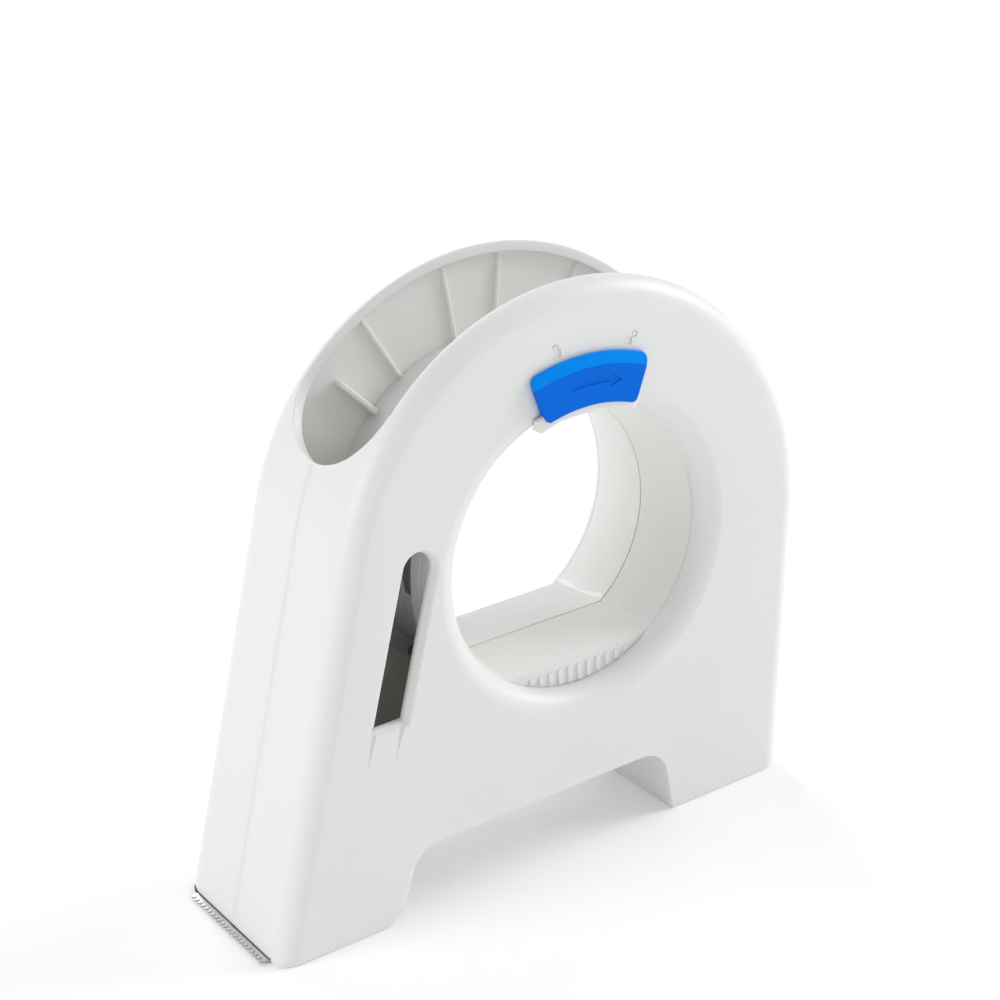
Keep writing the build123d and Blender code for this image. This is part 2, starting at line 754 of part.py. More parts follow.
# Three bowed leaves let into the hub, which grip the roll's core
with BuildPart() as core_drag_springs:
    seat_radius = hub_radius - drag_spring_seat
    foot_edge = drag_spring_span_angle / 2 - drag_spring_foot_angle
    for angle in drag_spring_angles:
        for way in (-1, 1):
            inner_end = angle + way * foot_edge
            outer_end = angle + way * drag_spring_span_angle / 2
            foot = ring_sector(
                -drag_spring_edge,
                seat_radius,
                seat_radius + drag_spring_strip,
                min(inner_end, outer_end),
                max(inner_end, outer_end),
            )
            extrude(foot, amount=drag_spring_width)
        with BuildSketch(side_plane(-drag_spring_edge)):
            with BuildLine():
                under = hub_radius - drag_spring_strip
                inside = ThreePointArc(
                    around_hub(seat_radius, angle - foot_edge),
                    around_hub(under, angle),
                    around_hub(seat_radius, angle + foot_edge),
                )
                outside = ThreePointArc(
                    around_hub(seat_radius + drag_spring_strip, angle - foot_edge),
                    around_hub(hub_radius, angle),
                    around_hub(seat_radius + drag_spring_strip, angle + foot_edge),
                )
                Line(inside @ 0, outside @ 0)
                Line(inside @ 1, outside @ 1)
            make_face()
        extrude(amount=drag_spring_width)
core_drag_springs.part.label = "core_drag_springs"
export_step(core_drag_springs.part, "parts/core_drag_springs.step")

# Blue cap of the lock, a curved plate with a wide bevel at the top and a sunk arrow
plate_first = slider_first_angle + degrees(slider_side_wall / carrier_rim_outer)
plate_last = slider_last_angle - degrees(slider_side_wall / carrier_rim_outer)
plate_outer = slider_outer_radius - slider_outer_wall
fit_turn = degrees(running_fit / carrier_rim_outer)
with BuildPart() as lock_slider:
    cap = ring_sector(
        -slider_back, slider_inner_radius, slider_outer_radius, slider_first_angle, slider_last_angle
    )
    extrude(cap, amount=slider_face - slider_back)
    fillet(lock_slider.edges().filter_by(Axis.Y), slider_corner)
    with BuildSketch(radial_plane(0)) as bevel:
        with BuildLine():
            bevel_edge = slider_outer_radius + cut_overrun
            bevel_rise = slider_bevel_depth * (slider_bevel_width + cut_overrun) / slider_bevel_width
            Polyline(
                (-slider_face, slider_outer_radius - slider_bevel_width),
                (-slider_face, bevel_edge),
                (-slider_face + bevel_rise, bevel_edge),
                close=True,
            )
        make_face()
    revolve(axis=hub_axis, mode=Mode.SUBTRACT)
    pocket = ring_sector(
        -slider_back,
        carrier_rim_outer - running_fit,
        plate_outer + running_fit,
        plate_first - fit_turn,
        plate_last + fit_turn,
    )
    extrude(pocket, amount=carrier_face - slider_back, mode=Mode.SUBTRACT)
    rim_room = ring_sector(
        -slider_back,
        mouth_radius - cut_overrun,
        carrier_rim_outer + running_fit,
        carrier_first_angle - carrier_end_angle,
        carrier_last_angle + carrier_end_angle,
    )
    extrude(rim_room, amount=carrier_face - slider_back, mode=Mode.SUBTRACT)
    shaft = ring_sector(
        -slider_face,
        arrow_radius - arrow_width / 2,
        arrow_radius + arrow_width / 2,
        arrow_first_angle,
        arrow_last_angle - arrow_head_angle,
    )
    extrude(shaft, amount=-arrow_depth, mode=Mode.SUBTRACT)
    with BuildSketch(side_plane(-slider_face)):
        with BuildLine():
            Polyline(
                around_hub(arrow_radius - arrow_head, arrow_last_angle - arrow_head_angle),
                around_hub(arrow_radius + arrow_head, arrow_last_angle - arrow_head_angle),
                around_hub(arrow_radius, arrow_last_angle),
                close=True,
            )
        make_face()
    extrude(amount=-arrow_depth, mode=Mode.SUBTRACT)
lock_slider.part.label = "lock_slider"
export_step(lock_slider.part, "parts/lock_slider.step")

# White carrier under the cap: plinth along the opening's edge, stem through the wall, tongue with its hook
with BuildPart() as lock_carrier:
    plinth = ring_sector(
        -carrier_face, mouth_radius, carrier_rim_outer, carrier_first_angle, carrier_last_angle
    )
    extrude(plinth, amount=-(carrier_face - plinth_end))
    plate = ring_sector(-carrier_face, carrier_rim_outer - cut_overrun, plate_outer, plate_first, plate_last)
    extrude(plate, amount=-(carrier_face - slider_back))
    with BuildSketch(radial_plane(0)):
        with BuildLine():
            rim = (-slider_back, flare_outer_radius)
            inner_end = (-plinth_end, plinth_end_radius)
            TangentArc(rim, inner_end, tangent=(0, -1))
            Polyline(inner_end, (0, plinth_end_radius), (0, flare_outer_radius), rim)
        make_face()
    revolve(axis=hub_axis, mode=Mode.SUBTRACT)
    stem = ring_sector(
        -slider_back, stem_inner_radius, stem_outer_radius, stem_first_angle, stem_last_angle
    )
    extrude(stem, amount=-(slider_back - keeper_face))
    root = ring_sector(
        -tongue_face, tongue_inner, mouth_radius + carrier_gap, -tongue_half_angle, tongue_half_angle
    )
    extrude(root, amount=-(tongue_face - plinth_end))
    tongue_end = catch_thickness + hook_play + hook_thickness
    tongue = ring_sector(-tongue_face, tongue_inner, tongue_outer, -tongue_half_angle, tongue_half_angle)
    extrude(tongue, amount=-(tongue_face + tongue_end))
    hook_first = -tongue_half_angle - hook_angle
    hook = ring_sector(tongue_end, tongue_inner, tongue_outer, hook_first, tongue_half_angle)
    extrude(hook, amount=hook_thickness)
    with BuildSketch(side_plane(-keeper_face)):
        with Locations(around_hub(stem_radius, stem_angle)):
            Circle(lock_screw_radius + fixed_fit)
    extrude(amount=lock_screw_length - keeper_thickness + open_gap, mode=Mode.SUBTRACT)
lock_carrier.part.label = "lock_carrier"
export_step(lock_carrier.part, "parts/lock_carrier.step")

# Plate behind the wall that keeps the carrier in its window
with BuildPart() as lock_keeper:
    with BuildSketch(side_plane(-keeper_face)):
        with Locations(Location((*around_hub(stem_radius, stem_angle), 0), (0, 0, 1), -stem_angle)):
            RectangleRounded(keeper_length, keeper_width, keeper_corner)
            Circle(lock_screw_radius + fixed_fit, mode=Mode.SUBTRACT)
    extrude(amount=-keeper_thickness)
lock_keeper.part.label = "lock_keeper"
export_step(lock_keeper.part, "parts/lock_keeper.step")

# Bowed strip between wall and keeper, with a window for the stem
stem_turn = radians(stem_angle)
spring_inner = stem_radius - keeper_width / 2
spring_plane = Plane(
    origin=(hub_x + spring_inner * sin(stem_turn), 0, hub_height + spring_inner * cos(stem_turn)),
    x_dir=(cos(stem_turn), 0, -sin(stem_turn)),
    z_dir=(sin(stem_turn), 0, cos(stem_turn)),
)
with BuildPart() as lock_spring:
    with BuildSketch(spring_plane):
        with BuildLine():
            reach = keeper_length / 2
            bow_end = inner_face - running_fit - spring_strip
            inside = ThreePointArc((-reach, -bow_end), (0, -keeper_face), (reach, -bow_end))
            wall_end = inner_face - running_fit
            wall_middle = keeper_face + spring_strip
            outside = ThreePointArc((-reach, -wall_end), (0, -wall_middle), (reach, -wall_end))
            Line(inside @ 0, outside @ 0)
            Line(inside @ 1, outside @ 1)
        make_face()
    extrude(amount=keeper_width)
    with BuildSketch(side_plane(-inner_face)):
        with Locations(Location((*around_hub(stem_radius, stem_angle), 0), (0, 0, 1), -stem_angle)):
            Rectangle(
                2 * stem_radius * sin(radians(stem_last_angle - stem_angle)) + 2 * spring_window_play,
                stem_outer_radius - stem_inner_radius + 2 * spring_window_play,
            )
    extrude(amount=-keeper_gap, mode=Mode.SUBTRACT)
lock_spring.part.label = "lock_spring"
export_step(lock_spring.part, "parts/lock_spring.step")

# Screw through the keeper into the stem
with BuildPart() as lock_screw:
    screw_group(
        side_plane(-(keeper_face - keeper_thickness)),
        1,
        [around_hub(stem_radius, stem_angle)],
        lock_screw_head_radius,
        lock_screw_head_height,
        lock_screw_radius,
        lock_screw_length,
    )
lock_screw.part.label = "lock_screw"
export_step(lock_screw.part, "parts/lock_screw.step")

# Cutting blade: bent strip with saw teeth along the toe
with BuildPart() as cutting_blade:
    blade_bottom = blade_floor_gap
    strip_top = blade_bottom + blade_strip
    tooth_root = toe_reach + blade_root_out
    with BuildSketch(side_plane(-blade_half_width)):
        with BuildLine():
            Polyline(
                (-tooth_root, blade_bottom),
                (behind_front_wall(holder_depth, blade_bottom), blade_bottom),
                (behind_front_wall(holder_depth, blade_top), blade_top),
                (behind_front_wall(blade_depth, blade_top), blade_top),
                (behind_front_wall(blade_depth, strip_top), strip_top),
                (-tooth_root, strip_top),
                close=True,
            )
        make_face()
    extrude(amount=-2 * blade_half_width)
    saw = [(hub_x - tooth_root + blade_strip, -blade_half_width), (hub_x - tooth_root, -blade_half_width)]
    for place in range(tooth_count):
        valley = -blade_half_width + place * tooth_pitch
        saw.append((hub_x - tooth_root - tooth_length, valley + tooth_pitch / 2))
        saw.append((hub_x - tooth_root, valley + tooth_pitch))
    saw.append((hub_x - tooth_root + blade_strip, blade_half_width))
    with BuildSketch(Plane.XY.offset(blade_bottom)):
        with BuildLine():
            Polyline(*saw, close=True)
        make_face()
    extrude(amount=blade_strip)
    with BuildSketch(front_wall.offset(-blade_depth)):
        with Locations(wall_places(blade_screw_shares)):
            Circle(blade_screw_radius + fixed_fit)
        with Locations(wall_places(stake_shares)):
            Circle(stake_radius + fixed_fit)
    extrude(amount=-blade_strip, mode=Mode.SUBTRACT)
cutting_blade.part.label = "cutting_blade"
export_step(cutting_blade.part, "parts/cutting_blade.step")

# Blade holder: bar behind the blade, with a thin toe that shows under the far front corner
with BuildPart() as blade_holder:
    holder_half_width = foot_opening_half_width - holder_end_play
    with BuildSketch(side_plane(-holder_half_width)):
        with BuildLine():
            Polyline(
                (behind_front_wall(holder_depth, holder_floor_gap), holder_floor_gap),
                (behind_front_wall(holder_back, holder_floor_gap), holder_floor_gap),
                (behind_front_wall(holder_back, holder_top), holder_top),
                (behind_front_wall(holder_depth, holder_top), holder_top),
                close=True,
            )
        make_face()
    extrude(amount=-2 * holder_half_width)
    pad_top = lip_height - toe_pad_top_gap
    pad_front = hub_x - toe_reach + toe_pad_inset
    pad_rear = hub_x - toe_reach + toe_pad_length
    pad_start = blade_half_width + open_gap
    pad_side = half_width - toe_pad_inset
    link_front = hub_x + behind_front_wall(holder_depth, lip_height)
    with BuildSketch(Plane.XY.offset(toe_pad_floor_gap)) as toe:
        with BuildLine():
            Polyline(
                (pad_front, pad_start),
                (pad_front, pad_side),
                (pad_rear, pad_side),
                (pad_rear, pad_start - toe_pad_overlap),
                (link_front, pad_start - toe_pad_overlap),
                (link_front, pad_start),
                close=True,
            )
        make_face()
        fillet(toe.vertices().sort_by_distance((pad_front, pad_side))[0], toe_pad_round)
    extrude(amount=pad_top - toe_pad_floor_gap)
    with BuildSketch(front_wall.offset(-holder_back)):
        with Locations(wall_places(blade_screw_shares)):
            Circle(blade_screw_radius + fixed_fit)
    extrude(amount=holder_thickness, mode=Mode.SUBTRACT)
    with BuildSketch(front_wall.offset(-holder_back)):
        with Locations(wall_places(blade_screw_shares)):
            Circle(blade_screw_head_radius + head_play)
    extrude(amount=blade_screw_head_height, mode=Mode.SUBTRACT)
    with BuildSketch(front_wall.offset(-holder_depth)):
        with Locations(wall_places(stake_shares)):
            Circle(stake_radius)
    extrude(amount=blade_strip + stake_proud)
blade_holder.part.label = "blade_holder"
export_step(blade_holder.part, "parts/blade_holder.step")

# Two screws through holder and blade into the front wall's bosses
with BuildPart() as blade_screws:
    blade_screw_seat = holder_back - blade_screw_head_height
    screw_group(
        front_wall.offset(-blade_screw_seat),
        1,
        wall_places(blade_screw_shares),
        blade_screw_head_radius,
        blade_screw_head_height,
        blade_screw_radius,
        blade_screw_seat - rim_wall / 2 - open_gap,
    )
blade_screws.part.label = "blade_screws"
export_step(blade_screws.part, "parts/blade_screws.step")


def roller_plane(place):
    """Plane through a roller's axis: its x runs along +Y and its y upwards."""
    return Plane(origin=(hub_x + place[0], 0, place[1]), x_dir=(0, 1, 0), z_dir=(1, 0, 0))


def roller_profile(place, surface):
    """Sketch of a roller's half section: bore, recessed ends and this list of surface points."""
    radius = surface[0][1]
    bore = axle_radius + running_fit
    shoulder = roller_half_length - roller_end_recess
    with BuildSketch(roller_plane(place)) as profile:
        with BuildLine():
            Polyline(
                (-roller_half_length, bore),
                (-roller_half_length, bore + roller_hub),
                (-shoulder, bore + roller_hub),
                (-shoulder, radius - roller_rim),
                (-roller_half_length, radius - roller_rim),
                *surface,
                (roller_half_length, radius - roller_rim),
                (shoulder, radius - roller_rim),
                (shoulder, bore + roller_hub),
                (roller_half_length, bore + roller_hub),
                (roller_half_length, bore),
                close=True,
            )
        make_face()
    return profile.sketch


# Press roller in the toe's opening, and grooved guide roller between the roll and the toe
press_surface = [(-roller_half_length, press_roller_radius), (roller_half_length, press_roller_radius)]
with BuildPart() as press_roller:
    axis = Axis((hub_x + press_place[0], 0, press_place[1]), (0, 1, 0))
    revolve(roller_profile(press_place, press_surface), axis=axis)
    rims = press_roller.edges().filter_by(GeomType.CIRCLE).sort_by(SortBy.RADIUS)[-2:]
    chamfer(rims, roller_chamfer)
press_roller.part.label = "press_roller"
export_step(press_roller.part, "parts/press_roller.step")

guide_pitch = 2 * roller_half_length / (guide_groove_count + guide_land_share)
guide_land = guide_pitch * guide_land_share
guide_surface = [(-roller_half_length, guide_roller_radius)]
for place in range(guide_groove_count):
    groove_start = -roller_half_length + place * guide_pitch + guide_land
    groove_end = groove_start + guide_pitch - guide_land
    guide_surface.append((groove_start, guide_roller_radius))
    guide_surface.append((groove_start + guide_groove_depth / 2, guide_roller_radius - guide_groove_depth))
    guide_surface.append((groove_end - guide_groove_depth / 2, guide_roller_radius - guide_groove_depth))
    guide_surface.append((groove_end, guide_roller_radius))
guide_surface.append((roller_half_length, guide_roller_radius))
with BuildPart() as guide_roller:
    axis = Axis((hub_x + guide_place[0], 0, guide_place[1]), (0, 1, 0))
    revolve(roller_profile(guide_place, guide_surface), axis=axis)
guide_roller.part.label = "guide_roller"
export_step(guide_roller.part, "parts/guide_roller.step")

# Steel axles, fixed in the slider-side half and free in the far one
for name, place in (("press_roller_axle", press_place), ("guide_roller_axle", guide_place)):
    with BuildPart() as axle:
        with BuildSketch(side_plane(axle_reach)):
            with Locations(place):
                Circle(axle_radius)
        extrude(amount=2 * axle_reach)
        chamfer(axle.edges().filter_by(GeomType.CIRCLE), axle_chamfer)
    axle.part.label = name
    export_step(axle.part, f"parts/{name}.step")

# Register pins, fixed in the far half and sliding in the other
with BuildPart() as register_pins:
    pin_far_end = boss_parting_gap + pin_far_length
    pin_near_end = boss_parting_gap + pin_near_length
    with BuildSketch(side_plane(pin_far_end)):
        with Locations(pin_places):
            Circle(pin_radius)
    extrude(amount=pin_far_end + pin_near_end)
    chamfer(register_pins.edges().filter_by(GeomType.CIRCLE).group_by(Axis.Y)[0], axle_chamfer)
register_pins.part.label = "register_pins"
export_step(register_pins.part, "parts/register_pins.step")
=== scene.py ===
import json
import math

import bmesh
import bpy
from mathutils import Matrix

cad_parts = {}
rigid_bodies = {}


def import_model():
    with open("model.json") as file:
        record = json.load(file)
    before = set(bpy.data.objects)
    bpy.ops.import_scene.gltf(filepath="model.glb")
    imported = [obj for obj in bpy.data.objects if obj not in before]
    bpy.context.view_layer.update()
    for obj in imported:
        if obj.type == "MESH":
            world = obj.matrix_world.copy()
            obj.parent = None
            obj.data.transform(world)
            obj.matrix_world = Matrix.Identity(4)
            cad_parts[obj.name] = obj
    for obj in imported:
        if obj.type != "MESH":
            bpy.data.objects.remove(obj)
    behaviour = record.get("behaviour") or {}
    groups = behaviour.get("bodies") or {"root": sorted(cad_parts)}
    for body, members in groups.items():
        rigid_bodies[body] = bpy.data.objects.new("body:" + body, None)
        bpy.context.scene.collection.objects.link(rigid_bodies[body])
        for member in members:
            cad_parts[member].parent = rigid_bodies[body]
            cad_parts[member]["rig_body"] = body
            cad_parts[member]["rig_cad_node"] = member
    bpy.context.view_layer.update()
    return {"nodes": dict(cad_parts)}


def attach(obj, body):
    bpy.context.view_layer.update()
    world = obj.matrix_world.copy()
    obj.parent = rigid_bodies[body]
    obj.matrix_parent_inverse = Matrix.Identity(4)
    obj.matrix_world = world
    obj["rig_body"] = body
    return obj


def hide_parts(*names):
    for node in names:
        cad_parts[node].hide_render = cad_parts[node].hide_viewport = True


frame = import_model()
nodes = frame["nodes"]

# The photographer's camera: a long lens, above the tool's lock side and towards its blade,
# held a touch off level.
camera_place = (-0.24804, -0.38499, 0.27759)
camera_turn = (1.17075, 0.05127, -0.60222)
camera_lens = 78.31
sensor_width = 36.0
nearest_seen = 0.01
bpy.ops.object.camera_add(location=camera_place, rotation=camera_turn)
camera = bpy.context.object
camera.name = "camera"
camera.data.lens = camera_lens
camera.data.sensor_width = sensor_width
camera.data.clip_start = nearest_seen
bpy.context.scene.camera = camera


# Near shell: the lock-side half of the housing, one thin injection moulding in white ABS with a
# spark-eroded satin skin. Its tool leaves every outer edge a small radius, and the plastic's flow
# leaves faint differences in gloss.
class Value:
    """A socket of a finish, which takes part in sums as a number does."""

    def __init__(self, finish, socket):
        self.finish = finish
        self.socket = socket

    def sum(self, operation, *numbers):
        return self.finish.add("ShaderNodeMath", {"operation": operation}, dict(enumerate(numbers)))

    def __add__(self, other):
        return self.sum("ADD", self, other)

    def __radd__(self, other):
        return self.sum("ADD", other, self)

    def __sub__(self, other):
        return self.sum("SUBTRACT", self, other)

    def __rsub__(self, other):
        return self.sum("SUBTRACT", other, self)

    def __mul__(self, other):
        return self.sum("MULTIPLY", self, other)

    def __rmul__(self, other):
        return self.sum("MULTIPLY", other, self)


class Finish:
    """The nodes of one finish, which end in a Principled shader."""

    def __init__(self, name, **constants):
        self.material = bpy.data.materials.new(name)
        self.material.use_nodes = True
        self.tree = self.material.node_tree
        self.shader = self.tree.nodes["Principled BSDF"]
        for socket, value in constants.items():
            self.shader.inputs[socket.replace("_", " ")].default_value = value
        self.place = self.add("ShaderNodeTexCoord", output="Object")

    def add(self, kind, settings=None, inputs=None, output=0):
        """Adds a node with these settings and socket values or links, and gives one output."""
        node = self.tree.nodes.new(kind)
        for name, value in (settings or {}).items():
            setattr(node, name, value)
        for name, value in (inputs or {}).items():
            if isinstance(value, Value):
                self.tree.links.new(value.socket, node.inputs[name])
            else:
                node.inputs[name].default_value = value
        return Value(self, node.outputs[output])

    def noise(self, scale, detail=2.0, stretch=(1.0, 1.0, 1.0)):
        """Noise from 0 to 1 in the piece's own space, with features of about 1/scale metres."""
        place = self.add("ShaderNodeMapping", inputs={"Vector": self.place, "Scale": stretch})
        inputs = {"Vector": place, "Scale": scale, "Detail": detail}
        return self.add("ShaderNodeTexNoise", inputs=inputs)

    def steps(self, value, low, high):
        """Maps this value so that low gives 0 and high gives 1, with soft ends."""
        inputs = {"Value": value, "From Min": low, "From Max": high}
        return self.add("ShaderNodeMapRange", {"interpolation_type": "SMOOTHSTEP"}, inputs)

    def mix(self, share, first, second):
        """The colour at this share of the way from the first to the second."""
        inputs = {0: share, 6: first, 7: second}
        return self.add("ShaderNodeMix", {"data_type": "RGBA"}, inputs, output=2)

    def bump(self, height, distance):
        """Raises the surface by this height, times a distance in metres."""
        inputs = {"Height": height, "Distance": distance}
        self.feed("Normal", self.add("ShaderNodeBump", inputs=inputs))

    def feed(self, socket, value):
        self.tree.links.new(value.socket, self.shader.inputs[socket])


noise_middle = 0.5
flow_scale = 34.0
flow_detail = 3.0
flow_stretch = (1.0, 1.0, 0.45)
flow_low = 0.3
flow_high = 0.75
flow_gloss = 0.12
grain_scale = 2300.0
grain_gloss = 0.1
coarse_grain_scale = 800.0
coarse_grain_detail = 1.0
coarse_grain_share = 0.7


def moulded(name, colour, shade, roughness, specular, grain_height, **glow):
    """Injection-moulded plastic: nearly even colour, spark-eroded grain and faint flow marks."""
    finish = Finish(name, Specular_IOR_Level=specular, **glow)
    flow = finish.noise(flow_scale, flow_detail, flow_stretch)
    grain = finish.noise(grain_scale)
    coarse_grain = finish.noise(coarse_grain_scale, coarse_grain_detail)
    flow_marks = (flow - noise_middle) * flow_gloss
    finish.feed("Base Color", finish.mix(finish.steps(flow, flow_low, flow_high), colour, shade))
    finish.feed("Roughness", roughness + flow_marks + (grain - noise_middle) * grain_gloss)
    finish.bump(grain + coarse_grain * coarse_grain_share, grain_height)
    return finish.material


merge_distance = 0.00006
flat_angle = math.radians(1.0)
edge_angle = math.radians(12.0)
smooth_angle = math.radians(60.0)
rounding_room_share = 0.42
least_rounding_share = 0.5
rounding_steps = 2
parting_distance = 0.00001


def width_at(edge, face):
    """How far this face reaches from one of its edges."""
    start, end = (corner.co for corner in edge.verts)
    along = (end - start).normalized()
    reaches = (corner.co - start for corner in face.verts)
    return max((reach - along * along.dot(reach)).length for reach in reaches)


def make(node, name, material, rounding, slide=True):
    """Makes the shown piece of a CAD node from a merged copy of its mesh, with its outer edges
    rounded by this radius, or by less where the faces beside an edge are narrow. The edges at the
    halves' parting plane and those beside the finest faces stay sharp. Without slide, the
    rounding's ends stay off the long thin faces, which they would fold over in some pieces."""
    source = nodes[node]
    bpy.ops.object.select_all(action="DESELECT")
    source.select_set(True)
    bpy.context.view_layer.objects.active = source
    bpy.ops.object.duplicate()
    piece = bpy.context.object
    piece.name = name
    piece.data.name = name
    del piece["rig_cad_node"]
    bpy.ops.object.mode_set(mode="EDIT")
    bpy.ops.mesh.select_all(action="SELECT")
    bpy.ops.mesh.remove_doubles(threshold=merge_distance, use_sharp_edge_from_normals=True)
    bpy.ops.mesh.customdata_custom_splitnormals_clear()
    bpy.ops.mesh.dissolve_degenerate(threshold=merge_distance)
    bpy.ops.mesh.dissolve_limited(angle_limit=flat_angle, delimit={"SHARP"})
    bpy.ops.mesh.select_all(action="SELECT")
    bpy.ops.mesh.vert_connect_concave()
    shape = bmesh.from_edit_mesh(piece.data)
    weight = shape.edges.layers.float.new("bevel_weight_edge")
    for edge in shape.edges:
        if not edge.is_manifold or not edge.is_convex or edge.calc_face_angle() < edge_angle:
            continue
        if max(abs(corner.co.y) for corner in edge.verts) < parting_distance:
            continue
        room = min(width_at(edge, face) for face in edge.link_faces)
        share = min(1.0, rounding_room_share * room / rounding)
        if share > least_rounding_share:
            edge[weight] = share
            edge.smooth = True
    bmesh.update_edit_mesh(piece.data)
    bpy.ops.object.mode_set(mode="OBJECT")
    bevel = piece.modifiers.new("rounding", "BEVEL")
    bevel.limit_method = "WEIGHT"
    bevel.width = rounding
    bevel.segments = rounding_steps
    bevel.use_clamp_overlap = False
    bevel.loop_slide = slide
    bpy.ops.object.modifier_apply(modifier=bevel.name)
    bpy.ops.object.shade_smooth_by_angle(angle=smooth_angle, keep_sharp_edges=True)
    shading = piece.modifiers.new("even shading", "WEIGHTED_NORMAL")
    shading.keep_sharp = True
    bpy.ops.object.modifier_apply(modifier=shading.name)
    piece.data.materials.clear()
    piece.data.materials.append(material)
    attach(piece, source["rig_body"])
    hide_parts(node)


housing_finish = moulded(
    "housing satin white",
    colour=(0.80, 0.81, 0.795, 1.0),
    shade=(0.785, 0.795, 0.78, 1.0),
    roughness=0.42,
    specular=0.5,
    grain_height=0.00002,
    Subsurface_Weight=0.2,
    Subsurface_Radius=(1.0, 0.97, 0.86),
    Subsurface_Scale=0.004,
)
housing_rounding = 0.0004
make("near_shell", "near_shell_moulding", housing_finish, housing_rounding)

# Near hub sleeve: the front half of the turned-looking core hub, a separate white moulding that
# stands in the near shell's opening, with finger ribs on the end of its flat floor. Four small
# zinc-plated pan-head screws hold it.
hub_finish = moulded(
    "hub satin white",
    colour=(0.80, 0.81, 0.79, 1.0),
    shade=(0.785, 0.795, 0.775, 1.0),
    roughness=0.4,
    specular=0.5,
    grain_height=0.000015,
)
hub_rounding = 0.00015
make("near_hub_sleeve", "near_hub_moulding", hub_finish, hub_rounding)

line_detail = 3.0
line_share = 0.6
line_gloss = 0.2
patch_scale = 220.0
patch_gloss = 0.1


def bare_metal(name, dark, light, roughness, scale, stretch, scratch_depth):
    """Bare metal with the fine lines of its last working, drawn out along the small stretches."""
    finish = Finish(name, Metallic=1.0)
    lines = finish.noise(scale, line_detail, stretch)
    patches = finish.noise(patch_scale)
    brightness = lines * line_share + patches * (1.0 - line_share)
    line_marks = (lines - noise_middle) * line_gloss
    finish.feed("Base Color", finish.mix(brightness, dark, light))
    finish.feed("Roughness", roughness + line_marks + (patches - noise_middle) * patch_gloss)
    finish.bump(lines, scratch_depth)
    return finish.material


screw_finish = bare_metal(
    "zinc plate",
    dark=(0.50, 0.53, 0.56, 1.0),
    light=(0.70, 0.73, 0.76, 1.0),
    roughness=0.34,
    scale=1500.0,
    stretch=(1.0, 1.0, 1.0),
    scratch_depth=0.000004,
)
screw_rounding = 0.00012
make("near_hub_screws", "near_hub_fixing_screws", screw_finish, screw_rounding)

# Core drag springs: three leaves of blue-tempered strip, bowed out of the near sleeve's wall to
# grip the tape's cardboard core. They are sheared from strip, so their edges stay fairly sharp.
strip_finish = bare_metal(
    "tempered strip",
    dark=(0.25, 0.27, 0.31, 1.0),
    light=(0.46, 0.48, 0.52, 1.0),
    roughness=0.3,
    scale=900.0,
    stretch=(0.1, 1.0, 0.1),
    scratch_depth=0.000004,
)
strip_rounding = 0.00006
make("core_drag_springs", "core_drag_leaves", strip_finish, strip_rounding)

# Far shell and far hub sleeve: the other half of the housing and of the hub, moulded and screwed
# together in the same way. The two halves meet on a fine parting line and slide apart to load.
make(
    "far_shell",
    "far_shell_moulding",
    housing_finish,
    housing_rounding,
    slide=False,
)
make("far_hub_sleeve", "far_hub_moulding", hub_finish, hub_rounding)
make("far_hub_screws", "far_hub_fixing_screws", screw_finish, screw_rounding)

# Register pins: two ground steel pins pressed into the far shell, which line the halves up. The
# grinding leaves rings round them.
axle_finish = bare_metal(
    "ground steel",
    dark=(0.56, 0.57, 0.58, 1.0),
    light=(0.76, 0.77, 0.78, 1.0),
    roughness=0.2,
    scale=2600.0,
    stretch=(0.02, 1.0, 0.02),
    scratch_depth=0.000003,
)
axle_rounding = 0.0002
make("register_pins", "register_dowels", axle_finish, axle_rounding)

# Lock: a white carrier rides in a slot of the near shell, with its stem and catch tongue inside
# the hub. A blue cap, the part that the thumb pushes, is snapped on its face. Its outer bevel is
# a little glossier and carries a painted highlight, a lighter blue where light from above falls.
carrier_finish = moulded(
    "carrier white",
    colour=(0.81, 0.82, 0.80, 1.0),
    shade=(0.795, 0.805, 0.785, 1.0),
    roughness=0.38,
    specular=0.5,
    grain_height=0.000012,
)
carrier_rounding = 0.00025
make("lock_carrier", "lock_carrier_moulding", carrier_finish, carrier_rounding)

slider_colour = (0.0, 0.148, 0.74, 1.0)
# Painted highlight: a lighter blue for the cap's outer bevel, where light from above falls.
slider_painted_highlight_colour = (0.0, 0.26, 0.90, 1.0)
slider_edge_radius = 0.0447
slider_edge_blend = 0.0001
slider_roughness = 0.4
slider_polish = 0.1
slider_grain_height = 0.000012
slider_rounding = 0.0003
hub_place = (0.01275, 0.0, 0.075)
across_hub = (1.0, 0.0, 1.0)
vector_math = "ShaderNodeVectorMath"
slider = Finish("slider blue", Specular_IOR_Level=0.06)
grain = slider.noise(grain_scale)
from_hub = slider.add(vector_math, {"operation": "SUBTRACT"}, {0: slider.place, 1: hub_place})
from_axis = slider.add(vector_math, {"operation": "MULTIPLY"}, {0: from_hub, 1: across_hub})
radius = slider.add(vector_math, {"operation": "LENGTH"}, {0: from_axis}, output=1)
edge_start = slider_edge_radius - slider_edge_blend
edge_end = slider_edge_radius + slider_edge_blend
# Past this radius the cap gets the painted highlight colour and a lower roughness.
gloss_and_painted_highlight = slider.steps(radius, edge_start, edge_end)
slider.feed("Base Color", slider.mix(gloss_and_painted_highlight, slider_colour, slider_painted_highlight_colour))
matt = slider_roughness - gloss_and_painted_highlight * slider_polish
slider.feed("Roughness", matt + (grain - noise_middle) * grain_gloss)
slider.bump(grain, slider_grain_height)
make("lock_slider", "lock_slider_cap", slider.material, slider_rounding, slide=False)

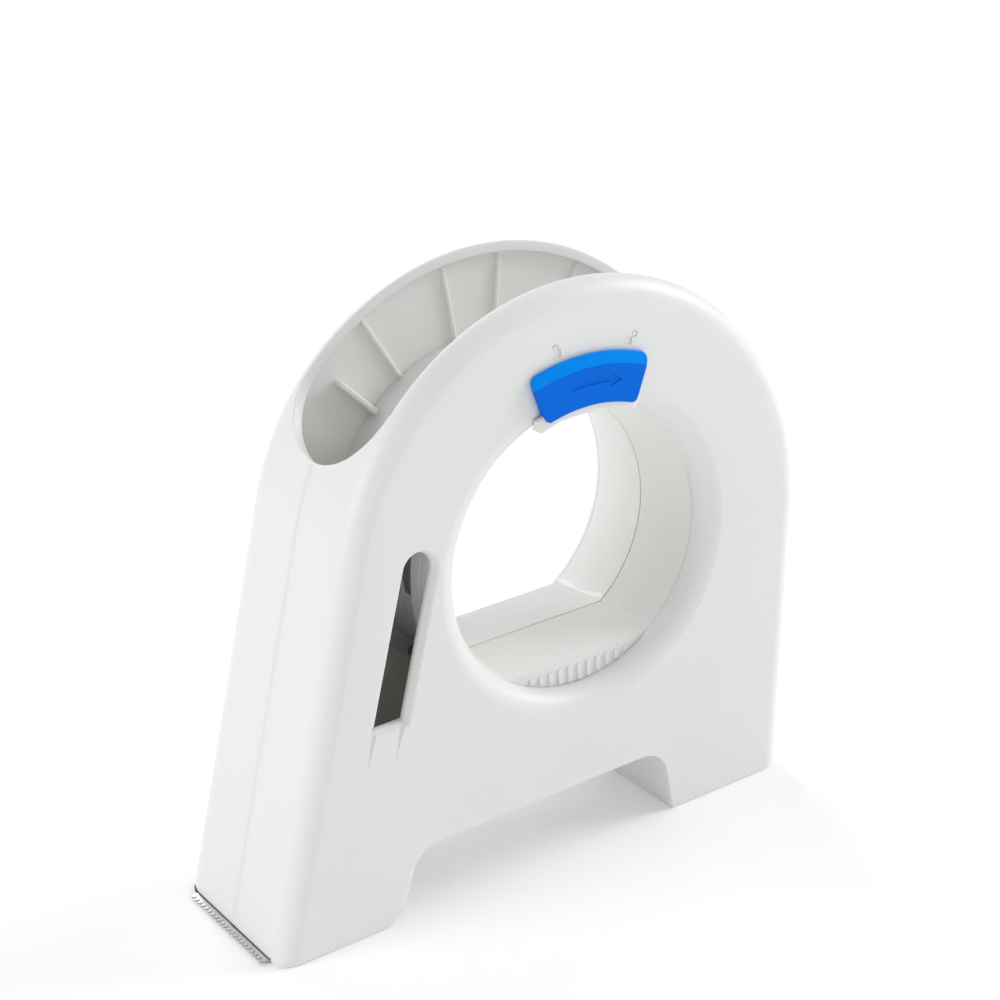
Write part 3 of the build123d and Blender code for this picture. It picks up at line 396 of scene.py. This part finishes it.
# Lock keeper, drag spring and screw: behind the wall, a plain plastic plate holds the carrier in
# its slot, a bowed strip gives it drag, and one small screw clamps both to the stem.
keeper_finish = moulded(
    "keeper natural white",
    colour=(0.58, 0.59, 0.57, 1.0),
    shade=(0.55, 0.56, 0.54, 1.0),
    roughness=0.5,
    specular=0.5,
    grain_height=0.00002,
)
keeper_rounding = 0.0002
make(
    "lock_keeper",
    "lock_keeper_plate",
    keeper_finish,
    keeper_rounding,
    slide=False,
)
make("lock_spring", "lock_drag_strip", strip_finish, strip_rounding)
make("lock_screw", "lock_stem_screw", screw_finish, screw_rounding)

# Blade: a strip of thin stainless steel with stamped teeth, clamped with its navy plastic holder
# to the toe by two screws. Rolling and stamping leave fine lines along the strip.
holder_finish = moulded(
    "holder navy",
    colour=(0.004, 0.022, 0.07, 1.0),
    shade=(0.006, 0.028, 0.085, 1.0),
    roughness=0.4,
    specular=0.4,
    grain_height=0.000015,
)
holder_rounding = 0.00025
make("blade_holder", "blade_holder_bar", holder_finish, holder_rounding)
blade_finish = bare_metal(
    "stamped stainless",
    dark=(0.32, 0.33, 0.34, 1.0),
    light=(0.64, 0.65, 0.66, 1.0),
    roughness=0.26,
    scale=1200.0,
    stretch=(1.0, 0.05, 1.0),
    scratch_depth=0.000004,
)
make("cutting_blade", "toothed_blade", blade_finish, strip_rounding)
make("blade_screws", "blade_fixing_screws", screw_finish, screw_rounding)

# Rollers: the press roller is black rubber moulded on its bush, with a matt ground face, and the
# guide roller is a grooved white acetal moulding. Each turns on a ground steel axle.
rubber_finish = moulded(
    "roller rubber",
    colour=(0.022, 0.023, 0.025, 1.0),
    shade=(0.034, 0.035, 0.037, 1.0),
    roughness=0.68,
    specular=0.35,
    grain_height=0.00003,
)
rubber_rounding = 0.0003
make("press_roller", "rubber_press_roller", rubber_finish, rubber_rounding)
acetal_finish = moulded(
    "roller acetal",
    colour=(0.66, 0.67, 0.65, 1.0),
    shade=(0.63, 0.64, 0.62, 1.0),
    roughness=0.36,
    specular=0.5,
    grain_height=0.00001,
)
acetal_rounding = 0.0002
make("guide_roller", "grooved_guide_roller", acetal_finish, acetal_rounding)
make("press_roller_axle", "press_roller_pin", axle_finish, axle_rounding)
make("guide_roller_axle", "guide_roller_pin", axle_finish, axle_rounding)

# The studio: a pale table that melts into a white room, and four large soft lamps. The table
# gives back a little light of its own, as an overexposed one seems to.
table_size = 12.0
table_finish = Finish(
    "pale table",
    Base_Color=(0.96, 0.96, 0.955, 1.0),
    Roughness=0.6,
    Emission_Color=(1.0, 1.0, 1.0, 1.0),
    Emission_Strength=0.07,
)
bpy.ops.mesh.primitive_plane_add(size=table_size, location=(0.0, 0.0, 0.0))
floor = bpy.context.object
floor.name = "floor"
floor.data.materials.append(table_finish.material)

room_colour = (1.0, 1.0, 1.0, 1.0)
room_strength = 0.53
world = bpy.context.scene.world or bpy.data.worlds.new("studio")
bpy.context.scene.world = world
world.use_nodes = True
room = world.node_tree.nodes["Background"]
room.inputs["Color"].default_value = room_colour
room.inputs["Strength"].default_value = room_strength
bpy.context.scene.view_settings.view_transform = "Standard"

lamp_size = 0.8
lamp_aim = (0.0, 0.0, 0.06)


def lamp(name, place, power):
    """Large soft lamp at this place, turned to the tool."""
    bpy.ops.object.light_add(type="AREA", location=place)
    light = bpy.context.object
    light.name = name
    light.data.shape = "DISK"
    light.data.size = lamp_size
    light.data.energy = power
    across, along, down = (end - start for start, end in zip(place, lamp_aim))
    tilt = math.atan2(math.hypot(across, along), -down)
    light.rotation_euler = (tilt, 0.0, math.atan2(along, across) - math.pi / 2)


lamp("left lamp", place=(-1.2, 0.25, 0.6), power=6.2)
lamp("right lamp", place=(1.2, -0.3, 0.7), power=10.8)
lamp("back lamp", place=(0.2, 1.2, 0.9), power=6.4)
lamp("front lamp", place=(-0.5, -1.2, 0.5), power=1.2)

bpy.context.view_layer.update()
